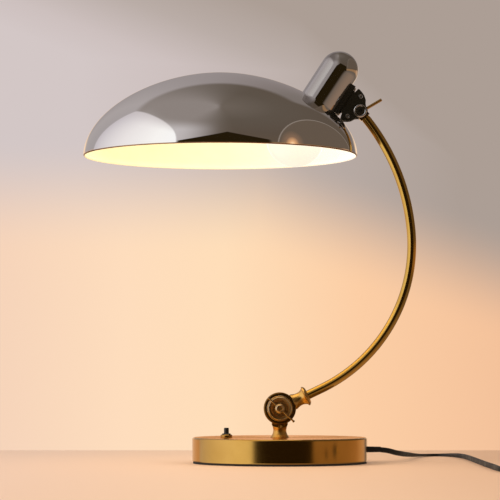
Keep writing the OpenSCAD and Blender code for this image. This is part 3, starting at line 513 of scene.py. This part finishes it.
def sweep(path, outline, first, last):
    """Rings of an outline along a path of (x, y, z, roll), with its end directions given."""
    rings = []
    for i, (x, y, z, roll) in enumerate(path):
        d = Vector(first) if i == 0 else Vector(last) if i == len(path) - 1 else heading(path, i)
        level = d.cross(Vector((0, 0, 1))).normalized()
        side = cosd(roll) * level + sind(roll) * level.cross(d)
        up = side.cross(d)
        rings.append([Vector((x, y, z)) + a * side + b * up for a, b in outline])
    return rings


rings = sweep(CORD_PATH, twin_outline(CORD_W, CORD_T, CORD_GROOVE), (cosd(EXIT_ANGLE), sind(EXIT_ANGLE), 0), (0, 1, 0))
cord = piece("flat_cord", *rings_mesh(rings), CORD_BLACK, "base", ("power_cord", "cord_coil"), "cord_black", sharp=50)
cord.visible_glossy = False

# ------------------------------------------------------------------ shade


def dome(r, h, n):
    """Profile from the rim to the crown, in n steps of even length."""
    fine_n = 2000
    fine = [(r * max(cosd(90 * i / fine_n), 0) ** (2 / DOME_N), h * sind(90 * i / fine_n) ** (2 / DOME_N))
            for i in range(fine_n + 1)]
    run = [0.0]
    for a, b in zip(fine, fine[1:]):
        run.append(run[-1] + math.hypot(b[0] - a[0], b[1] - a[1]))
    out, j = [], 0
    for k in range(n + 1):
        want = run[-1] * k / n
        while j < fine_n - 1 and run[j + 1] < want:
            j += 1
        f = (want - run[j]) / (run[j + 1] - run[j])
        out.append((fine[j][0] + (fine[j + 1][0] - fine[j][0]) * f, fine[j][1] + (fine[j + 1][1] - fine[j][1]) * f))
    out[-1] = (0.0, out[-1][1])
    return out


def dome_gap(p, grow=0.0):
    """Below 0 inside the dome's outer surface. p in mm in the lamp's frame."""
    x, y, z = p[0] - SHADE_X, p[1], p[2] - SHADE_Z
    return (math.hypot(x, y) / (SHADE_R + grow)) ** DOME_N + (max(z, 0) / (SHADE_H + grow)) ** DOME_N - 1


def shade_shell():
    """The pressed dome with its rolled rim, open where the lampholder goes through it."""
    hole_r, hole_reach = 18.3, 15
    outer = dome(SHADE_R, SHADE_H, 110)
    inner = dome(SHADE_R - SHADE_T, SHADE_H - SHADE_T, 60)
    roll = arc(SHADE_R - RIM, 0, RIM, 0, -180, 10)
    roll_in = [(SHADE_R - 2 * RIM, 0.0), (SHADE_R - 2 * RIM + 0.1, 0.5), (SHADE_R - 2 * RIM + 0.45, 0.95)]
    profile = list(reversed(outer)) + roll[1:] + roll_in[1:] + [q for q in inner if q[1] > 1.6]
    verts, faces = revolve_mesh(profile, 256)
    axis_o = Vector((SOCKET[0], 0, SOCKET[1]))
    axis_d = Vector((cosd(SOCKET_ANGLE), 0, sind(SOCKET_ANGLE)))
    kept, which = [], []
    for f in faces:
        c = sum((AT_SHADE @ Vector(verts[i]) for i in f), Vector()) / len(f) - axis_o
        if abs(c.dot(axis_d)) < hole_reach and (c - axis_d * c.dot(axis_d)).length < hole_r:
            continue
        kept.append(f)
        # Plating outside, enamel inside, and a copper-brown tone on the rim's lowest line
        z = sum(verts[i][2] for i in f) / len(f)
        r = sum(math.hypot(verts[i][0], verts[i][1]) for i in f) / len(f)
        gap = dome_gap(AT_SHADE @ Vector((r, 0, max(z, 0))), -0.5)
        outside = (gap > 0 and z > -0.85) or (z <= 0 and r > SHADE_R - RIM)
        which.append(1 if not outside else 2 if z < 0.7 else 0)
    piece("shade_shell", verts, kept, [CHROME, ENAMEL, RIM_COPPER], "head", ("shade",), "shade_chrome", sharp=60,
          place=AT_SHADE, which=which)


shade_shell()

# ------------------------------------------------------------------ socket housing


def seam(radius, angle):
    """Height along the socket's axis where a line at this radius meets the dome."""
    lo, hi = -20.0, 12.0
    for _ in range(40):
        mid = (lo + hi) / 2
        p = AT_SOCKET @ Vector((radius * math.cos(angle), radius * math.sin(angle), mid))
        if dome_gap(p) < 0:
            lo = mid
        else:
            hi = mid
    return lo


def housing_mesh(n=128):
    """Thin cap over the lampholder, its foot cut to the dome."""
    def ring(r, heights):
        return [(r * math.cos(a), r * math.sin(a), h) for a, h in zip(angles, heights)]

    side = HOUSING_H - HOUSING_R
    up = [(HOUSING_R, side * k / 10) for k in range(1, 11)] + arc(0, side, HOUSING_R, 0, 90, 26)[1:-1]
    angles = [2 * math.pi * i / n for i in range(n)]
    foot = [seam(HOUSING_R, a) for a in angles]
    rows = [ring(HOUSING_R - HOUSING_T, foot)]
    rows += [ring(HOUSING_R + out, [f + lift for f in foot])
             for out, lift in ((-0.5, -0.02), (0.0, 0.02), (0.0, 0.35), (0.0, 1.2))]
    rows += [ring(r, [max(h, f + 1.2 + 0.05 * k) for f in foot]) for k, (r, h) in enumerate(up)]
    verts, faces = rings_mesh(rows, caps=False)
    last = (len(rows) - 1) * n
    faces += [(last + i, last + (i + 1) % n, len(verts)) for i in range(n)]
    return verts + [(0, 0, HOUSING_H)], faces


piece("housing_shell", *housing_mesh(), CHROME_HOUSING, "head", ("socket_housing",), "housing_chrome", sharp=50,
      place=AT_SOCKET)

# ------------------------------------------------------------------ arm


def arm_path(s0, a1, n1=60, n2=34):
    """Centre line of the tube, from s0 along the neck to the angle a1 of its upper bow."""
    d = Vector((cosd(NECK_ANGLE), sind(NECK_ANGLE)))
    pts = [Vector((0, JOINT_Z)) + d * (s0 + (ARM_RUN - s0) * k / 6) for k in range(6)]
    pts += [Vector((BOW1[0] + BOW[0] * cosd(a), BOW1[1] + BOW[0] * sind(a)))
            for a in [BOW1_A0 + BOW[1] * k / n1 for k in range(n1 + 1)]]
    pts += [Vector((BOW2[0] + BOW[3] * cosd(a), BOW2[1] + BOW[3] * sind(a)))
            for a in [BOW1_A1 + (a1 - BOW1_A1) * k / n2 for k in range(n2 + 1)]]
    return [(p.x, 0, p.y) for p in pts]


def tube_rings(path, r, n=48):
    out = []
    side = Vector((0, 1, 0))
    for i, p in enumerate(path):
        up = side.cross(heading(path, i))
        out.append([Vector(p) + r * (side * math.cos(2 * math.pi * k / n) + up * math.sin(2 * math.pi * k / n))
                    for k in range(n)])
    return out


TIP_A = PIVOT_A - TIP_GAP / BOW[3] * 180 / math.pi
piece("arm_tube_polished", *rings_mesh(tube_rings(arm_path(TUBE_START, TIP_A), ARM_R)), BRASS_TUBE, "arm",
      ("arm_tube",), "tube_brass", sharp=50)

# ------------------------------------------------------------------ knuckle's outer ring, darkened as a painted reflection, and beads brightened as painted highlights

# Profiles are (radius, height) along the knuckle's axis
turned("knuckle_face", [(12.95, 7.8), (12.95, 8.25), (14.9, 8.25)] + arc(14.95, 6.75, 1.5, 90, 0, 6)[1:]
       + [(16.45, 0.95), (16.2, 0.6), (15.8, 0.6)], BRASS_RING_PAINTED_SHADE, "arm", place=LOWER, slot="fitting_brass")
turned("disc_chamfer", [(12.95, 8.3), (12.95, 8.9), (11.3, 10.75), (10.9, 10.75), (10.9, 8.3)], BRASS_BEAD_PAINTED_HIGHLIGHT, "clamp",
       place=LOWER, slot="clamp_brass")
turned("screw_chamfer",
       [(HUB_R + r, HUB_H1 + h) for r, h in ((0.12, -1.0), (0.12, -0.8), (-1.15, 0.3), (-1.5, 0.3), (-1.5, -1.0))],
       BRASS_BEAD_PAINTED_HIGHLIGHT, "clamp", place=LOWER, slot="clamp_brass")

# ------------------------------------------------------------------ base

EDGE_R, COVER_T = 1.8, 1.2
cover = [(0, BASE_H), (40, BASE_H), (86.2, BASE_H)]
cover += arc(BASE_R - EDGE_R, BASE_H - EDGE_R, EDGE_R, 90, 0, 8)
cover += [(BASE_R, h) for h in (24, 18, 8, 3.2, 2.7)]
cover += [(BASE_R - 0.25, 2.2), (BASE_R - 0.7, 2.02), (BASE_R - COVER_T, 2.1), (BASE_R - COVER_T, 24.4), (0, 24.6)]
verts, faces = revolve_mesh(list(reversed(cover)), 220)
# The flat top gets its own copy of the turned brass, brighter: painted light
which = [1 if min(verts[i][2] for i in f) > BASE_H - 0.01 else 0 for f in faces]
piece("base_shell", verts, faces, [BRASS_COVER, BRASS_TOP_PAINTED_LIGHT], "base", ("base_cover",), "cover_brass", sharp=40,
      which=which)

# ------------------------------------------------------------------ bulb

BULB_C = BULB_SEAT - BULB_L + BULB_R
glass = [(0, BULB_C - BULB_R)] + [(BULB_R * cosd(a), BULB_C + BULB_R * sind(a)) for a in range(-86, 21, 4)]
glass += [(r, BULB_C + h) for r, h in ((26.4, 15.5), (22.4, 22.3), (18.4, 29.2), (15.5, 35), (14.1, 39.5), (13.5, 45))]
glass += [(13.1, 7.4), (13.1, 10.2), (0, 10.3)]
turned("bulb_envelope", glass, BULB, "head", place=AT_SOCKET, replaces=("bulb_glass",), slot="bulb_opal", sharp=60)

# ------------------------------------------------------------------ carried-over nodes: materials

LOOKS = {
    "felt_pad": PAD_BLACK, "base_plate": STEEL, "base_weight": IRON, "base_screws": STEEL, "base_cover": BRASS_COVER,
    "foot_nipple": BRASS_CAST, "foot_washer": STEEL, "foot_nut": STEEL, "lower_knuckle": BRASS_CAST,
    "friction_washer": FIBRE, "knuckle_nut": BRASS_CAST, "switch_body": BLACK_PLASTIC, "switch_nut": BRASS_LEVER,
    "switch_collar": BLACK_PLASTIC, "switch_button": BLACK_PLASTIC, "base_lead": LEAD, "cord_relief": CORD_BLACK,
    "cord_tie": BLACK_PLASTIC, "plug_body": CORD_BLACK, "plug_blades": BRASS_LEVER, "arm_knuckle": BRASS_CAST,
    "arm_lead": LEAD, "arm_tip": BRASS_TUBE, "clamp_screw": BRASS_DISC, "clamp_disc": BRASS_DISC,
    "tommy_bar": BRASS_DARK, "housing_ring": ENAMEL, "lampholder": CERAMIC, "lampholder_shell": BRASS_LEVER,
    "lampholder_contact": BRASS_LEVER, "bulb_cap": CAP_METAL, "bulb_tip": BLACK_PLASTIC, "head_lead": LEAD,
    "bracket_saddle": BLACK_PAINT, "bracket_front": BLACK_PAINT, "bracket_rear": BLACK_PAINT,
    "bracket_screws": STEEL, "saddle_screws": CHROME_SMALL, "pivot_bolt": BLACK_PAINT, "pivot_ring": CHROME_SMALL,
    "lever_nut": BRASS_LEVER, "lever_rod": BRASS_LEVER, "power_cord": CORD_BLACK, "cord_coil": CORD_BLACK,
}
for name, mat in LOOKS.items():
    node = NODES[name]
    for s in node.material_slots:
        s.material = mat
    if not node.material_slots:
        node.data.materials.append(mat)

# ------------------------------------------------------------------ table, studio and background


def table():
    """Plain pale top, whose far edge is the photograph's horizon."""
    half, near, far_y, thick = 3, -4, 0.392, 0.03
    mesh = bpy.data.meshes.new("table")
    mesh.from_pydata([(-half, near, 0), (half, near, 0), (half, far_y, 0), (-half, far_y, 0),
                      (-half, far_y, -thick), (half, far_y, -thick)], [], [(0, 1, 2, 3), (3, 2, 5, 4)])
    mat, g, s = material("table_top", colour(246, 205, 170), 0.0, 0.55)
    s.inputs["Specular IOR Level"].default_value = 0.25
    # Painted light: the top is brightest near the lamp and darker towards both sides, most to the right
    across = g.m("MULTIPLY_ADD", g.xyz(g.place())[0], 1 / 0.56, 0.5)
    g.put(s.inputs["Base Color"], g.ramp(across, (0.0, colour(238, 202, 176)), (0.36, colour(250, 208, 172)),
                                         (0.55, colour(252, 206, 166)), (1.0, colour(232, 182, 142))))
    mesh.materials.append(mat)
    obj = bpy.data.objects.new("table", mesh)
    obj.visible_glossy = False
    bpy.context.scene.collection.objects.link(obj)


table()


def card(name, where, aim, size, power, tint):
    """A soft area light, aimed at a point, that no metal mirrors."""
    data = bpy.data.lights.new(name, "AREA")
    data.shape = "RECTANGLE"
    data.size, data.size_y = size
    data.energy = power
    data.color = tint
    obj = bpy.data.objects.new(name, data)
    obj.location = where
    obj.rotation_euler = (Vector(aim) - Vector(where)).to_track_quat("-Z", "Y").to_euler()
    obj.visible_glossy = False
    bpy.context.scene.collection.objects.link(obj)


card("softbox_left", (-1.6, -0.5, 1.2), (0, 0, 0.2), (1.4, 1.4), 26, (1, 0.97, 0.95))
card("softbox_right", (1.7, -0.6, 1.2), (0, 0, 0.2), (1.2, 1.2), 9, (1, 0.95, 0.9))

# The photograph's picture plane in pixels: focal length, middle column and row of the horizon
FOCAL, MIDDLE, HORIZON = 2238, 250, 375.6


def backdrop(g, x, y, z):
    """What the camera sees: a mauve grey above, lighter to the left, and a warm glow below."""
    depth = g.m("MAXIMUM", g.m("ABSOLUTE", y), 0.05)
    u = g.m("MULTIPLY_ADD", g.m("DIVIDE", x, depth), FOCAL, MIDDLE)
    v = g.m("MULTIPLY_ADD", g.m("DIVIDE", z, depth), -FOCAL, HORIZON)
    # The shadow's slanting edge, steeper right of column 300
    line = g.m("MULTIPLY_ADD", u, 0.4, -40)
    line = g.m("MULTIPLY_ADD", g.m("MAXIMUM", g.m("SUBTRACT", u, 300), 0), 0.5, line)
    beam = g.m("MINIMUM", g.m("MULTIPLY_ADD", g.m("SUBTRACT", v, line), 1 / 160, 0.5),
               g.m("MULTIPLY_ADD", u, -0.0021, 1.07))
    upper = g.ramp(g.m("MAXIMUM", beam, 0), (0.1, colour(172, 158, 149)), (0.42, colour(186, 173, 167)),
                   (0.7, colour(205, 192, 190)), (0.9, colour(211, 199, 198)))
    lower = g.ramp(g.m("MULTIPLY", u, 1 / 500, clamp=True),
                   (0.0, colour(246, 212, 186)), (0.25, colour(254, 221, 189)), (0.45, colour(255, 222, 185)),
                   (0.72, colour(252, 206, 165)), (1.0, colour(244, 194, 155)))
    edge = g.m("MULTIPLY_ADD", g.m("MAXIMUM", g.m("SUBTRACT", u, 260), 0), 0.35, 197)
    return g.mix(g.step(v, edge, 120), upper, lower)


def walls(g, x, z, az, el):
    """The room around the lamp, by azimuth from the camera's side and by elevation, in degrees."""
    wide = g.m("ABSOLUTE", az)
    half_turn = g.m("MULTIPLY", wide, 1 / 180, clamp=True)
    room = g.ramp(g.m("MULTIPLY_ADD", el, 1 / 180, 0.5),
                  (0.0, colour(205, 165, 135)), (0.30, colour(165, 135, 112)), (0.43, colour(113, 100, 89)),
                  (0.53, colour(96, 82, 68)), (0.68, colour(92, 80, 69)), (0.85, colour(96, 86, 76)),
                  (1.0, colour(112, 102, 93)))
    level = g.m("MAXIMUM", g.m("SQRT", g.m("SUBTRACT", 1, g.m("POWER", z, 2))), 0.05)
    west = g.m("DIVIDE", g.m("MULTIPLY", x, -1), level)
    room = g.mix(g.times(g.step(west, 0.22, 1.05), g.step(el, 5, 20)), room, colour(144, 135, 130))
    # Light spilling from the softbox over the wall beside it
    spill = g.times(g.band(az, -115, -20, 40, 46), g.below(el, 50, 24))
    room = g.mix(spill, room, colour(196, 190, 190))
    # The table, low on the right and low behind
    right = g.times(g.band(az, 40, 128, 6, 8), g.band(el, -6, 3, 4, 4))
    room = g.mix(right, room, g.ramp(g.m("MULTIPLY", az, 1 / 180, clamp=True), (0.22, colour(150, 118, 84)),
                                     (0.55, colour(158, 122, 88)), (0.7, colour(182, 140, 104))))
    behind = g.times(g.step(wide, 124, 10), g.band(el, -7, 5, 5, 5))
    room = g.mix(behind, room, g.ramp(half_turn, (0.68, colour(196, 156, 122)), (0.9, colour(216, 180, 150))))
    # The backdrop, with its warm foot
    back = g.times(g.m("ADD", g.step(az, 147, 6), g.below(az, -126, 8)), g.band(el, -7, 47.5, 5, 6), clamp=True)
    far = g.ramp(g.m("MULTIPLY_ADD", x, 0.5, 0.5), (0.17, colour(168, 161, 161)), (0.3, colour(173, 165, 164)),
                 (0.48, colour(152, 143, 142)), (0.57, colour(137, 127, 124)), (0.63, colour(126, 117, 112)),
                 (0.8, colour(118, 107, 101)))
    far = g.mix(g.times(g.step(wide, 160, 10), g.below(el, 10, 6)), far, colour(255, 220, 184))
    room = g.mix(back, room, far)
    left = g.times(g.below(az, -118, 10), g.band(el, -7, 4, 5, 6))
    return g.mix(left, room, g.ramp(half_turn, (0.68, colour(206, 164, 128)), (0.86, colour(226, 188, 156)),
                                    (0.97, colour(252, 214, 180))))


def oval(g, fu, fw, middle, size, power):
    """|a|^power + |b|^power, where a and b run from the middle of a shape on a side wall to its edge."""
    terms = [g.m("POWER", g.m("ABSOLUTE", g.m("DIVIDE", g.m("SUBTRACT", f, m), s)), power)
             for f, m, s in zip((fu, fw), middle, size)]
    return g.m("ADD", *terms)


def side_lights(g, room, x, y, z, el):
    """A softbox on the left wall, and a dimmer card on the right one."""
    reach = g.m("MAXIMUM", g.m("ABSOLUTE", x), 0.02)
    fu = g.m("DIVIDE", g.m("MULTIPLY", y, -1), reach)
    fw = g.m("DIVIDE", z, reach)
    # Softbox, brighter towards the camera and cut off at its rear edge
    shape = g.m("POWER", oval(g, fu, fw, (-0.15, 0.1), (1.52, 1.4), 2.4), 0.5)
    box = g.times(g.step(g.m("MULTIPLY", x, -1), 0.02, 0.02), g.step(fu, -0.88, 0.08), g.below(shape, 1.0, 0.07),
                  clamp=True)
    glow = g.ramp(g.m("MULTIPLY_ADD", fu, 1 / 3, 0.5, clamp=True),
                  (0.05, colour(178, 170, 172)), (0.25, colour(206, 199, 203)), (0.5, colour(240, 235, 234)),
                  (0.72, colour(255, 253, 250)), (1.0, colour(255, 255, 255)))
    room = g.mix(box, room, g.mix(g.step(fw, 1.3, 0.9), glow, colour(205, 197, 197)))
    # Card, with a thin bright edge
    east = g.times(g.step(x, 0.02, 0.02), g.step(el, 7, 5))
    shape = oval(g, fu, fw, (-0.15, 0.05), (1.0, 1.08), 2.0)
    room = g.mix(g.times(east, g.below(shape, 1.0, 0.05), 0.8), room, colour(104, 90, 77))
    return g.mix(g.times(east, g.band(shape, 0.98, 1.05, 0.03, 0.03), 0.8), room, colour(150, 138, 128))


def dark_front(g, room, az, el):
    """The unlit end of the room behind the camera, under a gabled outline."""
    roof = g.m("MULTIPLY_ADD", g.m("ABSOLUTE", g.m("SUBTRACT", az, 7)), -0.57, 36)
    dark = g.times(g.below(g.m("SUBTRACT", el, roof), 0, 2), g.band(az, -35, 43, 3, 5), g.step(el, -10, 8))
    return g.mix(dark, room, colour(36, 26, 10))


def studio():
    """Camera rays see the plain backdrop, glossy rays see the studio, and the rest is plain fill light."""
    world = bpy.data.worlds.new("studio")
    bpy.context.scene.world = world
    world.use_nodes = True
    g = Graph(world.node_tree)
    out = g.n("ShaderNodeOutputWorld")
    bg = g.n("ShaderNodeBackground")
    g.t.links.new(bg.outputs[0], out.inputs[0])
    x, y, z = g.xyz(g.n("ShaderNodeTexCoord").outputs["Generated"])
    az = g.m("MULTIPLY", g.m("ARCTAN2", x, g.m("MULTIPLY", y, -1)), 180 / math.pi)
    el = g.m("MULTIPLY", g.m("ARCSINE", z), 180 / math.pi)
    room = walls(g, x, z, az, el)
    room = side_lights(g, room, x, y, z, el)
    room = dark_front(g, room, az, el)
    path = g.n("ShaderNodeLightPath")
    fill = g.mix(path.outputs["Is Glossy Ray"], (0.62, 0.60, 0.58, 1), room)
    fill = g.mix(path.outputs["Is Transmission Ray"], fill, room)
    g.put(bg.inputs["Color"], g.mix(path.outputs["Is Camera Ray"], fill, backdrop(g, x, y, z)))
    bg.inputs["Strength"].default_value = 1.0


studio()
